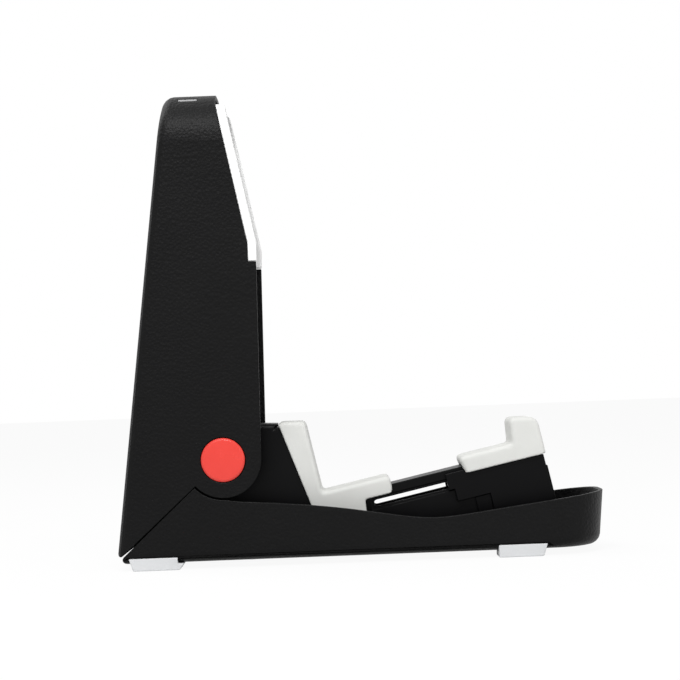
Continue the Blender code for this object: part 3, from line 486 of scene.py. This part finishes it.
def stock_finish(name, low, high, roughness, scale, **constants):
    """A finish for hidden hardware, with a mottle and fine tool marks."""
    finish = Finish(name, **constants)
    mottle = finish.noise(scale, detail=4.0)
    finish.relief(finish.noise(scale * TOOL_MARKS, detail=2.0), TOOL_DEPTH, TOOL_STRENGTH)
    return finish.mottled(mottle, low, high, roughness, STOCK_SPREAD)


steel_skin = stock_finish("zinc-plated steel", STEEL_DARK, STEEL_BRIGHT, STEEL_ROUGHNESS, STEEL_MOTTLE,
                          Metallic=1.0)
nylon_skin = stock_finish("natural nylon", NYLON_DEEP, NYLON_PALE, NYLON_ROUGHNESS, NYLON_MOTTLE)
fibre_skin = stock_finish("fibre washer", FIBRE_BLACK, FIBRE_GREY, FIBRE_ROUGHNESS, FIBRE_MOTTLE)

screws = ["cradle_screw_%d" % number for number in (1, 2, 3, 4)]
HARDWARE = {
    "steel": (steel_skin, ["pivot_bolt", "pivot_nut", "guide_pin_front", "guide_pin_rear"] + screws),
    "nylon": (nylon_skin, ["pivot_bush", "spacer_left", "spacer_right"]),
    "washer": (fibre_skin, ["friction_washer_left", "friction_washer_right"]),
}
for slot_name, (skin, nodes) in HARDWARE.items():
    for node_name in nodes:
        moulding(node_name, node_name + "_finished", skin, HARDWARE_EASE)


# Stage. A white floor lies under a white sky. Two large soft lamps stand in front, left and
# right, a narrow one above the near side brings out the barrel's shoulder, and a tall one
# behind draws the shells' edges.
SKY = 0.40
FLOOR_GLOW = 0.93
FLOOR_WHITE = (0.90, 0.90, 0.90, 1.0)
PURE_WHITE = (1.0, 1.0, 1.0, 1.0)
FLOOR_REACH = 6.0
PART_MIDDLE = (-0.02, 0, 0.12)
UPRIGHT_TOP = (-0.1, 0, 0.25)


def is_seen(nodes):
    """1 where a ray comes from the lens, a mirror or a pane, and 0 elsewhere."""
    camera_ray = nodes.node("ShaderNodeLightPath", {}, {}, "Is Camera Ray")
    rays = camera_ray.socket.node.outputs
    seen = camera_ray + Value(rays["Is Glossy Ray"]) + Value(rays["Is Transmission Ray"])
    return seen.maths("MINIMUM", seen, 1.0)


def lamp(name, place, aim, width, height, power):
    data = bpy.data.lights.new(name, "AREA")
    data.shape = "RECTANGLE"
    data.size = width
    data.size_y = height
    data.energy = power
    light = bpy.data.objects.new(name, data)
    light.location = place
    light.rotation_euler = (Vector(aim) - Vector(place)).to_track_quat("-Z", "Y").to_euler()
    bpy.context.scene.collection.objects.link(light)


world = bpy.data.worlds.new("white sky")
world.use_nodes = True
sky = world.node_tree.nodes["Background"]
sky.inputs["Color"].default_value = PURE_WHITE
feed(sky.inputs["Strength"], SKY + is_seen(Nodes(world.node_tree)) * (1 - SKY))
bpy.context.scene.world = world

floor_finish = Finish("white floor", Specular_IOR_Level=0.0, Roughness=1.0, Base_Color=FLOOR_WHITE,
                      Emission_Color=PURE_WHITE)
glow = floor_finish.node("ShaderNodeEmission", {}, {})
lit = Value(floor_finish.shader.outputs[0])
share = is_seen(floor_finish) * FLOOR_GLOW
shown = floor_finish.node("ShaderNodeMixShader", {}, {0: share, 1: lit, 2: glow})
feed(floor_finish.tree.nodes["Material Output"].inputs["Surface"], shown)

corners = [(-FLOOR_REACH, -FLOOR_REACH, 0), (FLOOR_REACH, -FLOOR_REACH, 0),
           (FLOOR_REACH, FLOOR_REACH, 0), (-FLOOR_REACH, FLOOR_REACH, 0)]
floor_mesh = bpy.data.meshes.new("floor")
floor_mesh.from_pydata(corners, [], [(0, 1, 2, 3)])
floor_mesh.materials.append(floor_finish.material)
floor = bpy.data.objects.new("floor", floor_mesh)
bpy.context.scene.collection.objects.link(floor)

lamp("key", place=(-0.5, -1.5, 1.2), aim=PART_MIDDLE, width=1.0, height=1.0, power=5.5)
lamp("fill", place=(1.3, -1.3, 0.7), aim=PART_MIDDLE, width=1.0, height=1.0, power=4)
lamp("shoulder", place=(-0.1, -0.80, 1.2), aim=UPRIGHT_TOP, width=0.9, height=0.12, power=11)
lamp("edge", place=(-0.9, 0.5, 1.3), aim=PART_MIDDLE, width=0.5, height=1.2, power=6)
bpy.context.scene.view_settings.view_transform = "Standard"
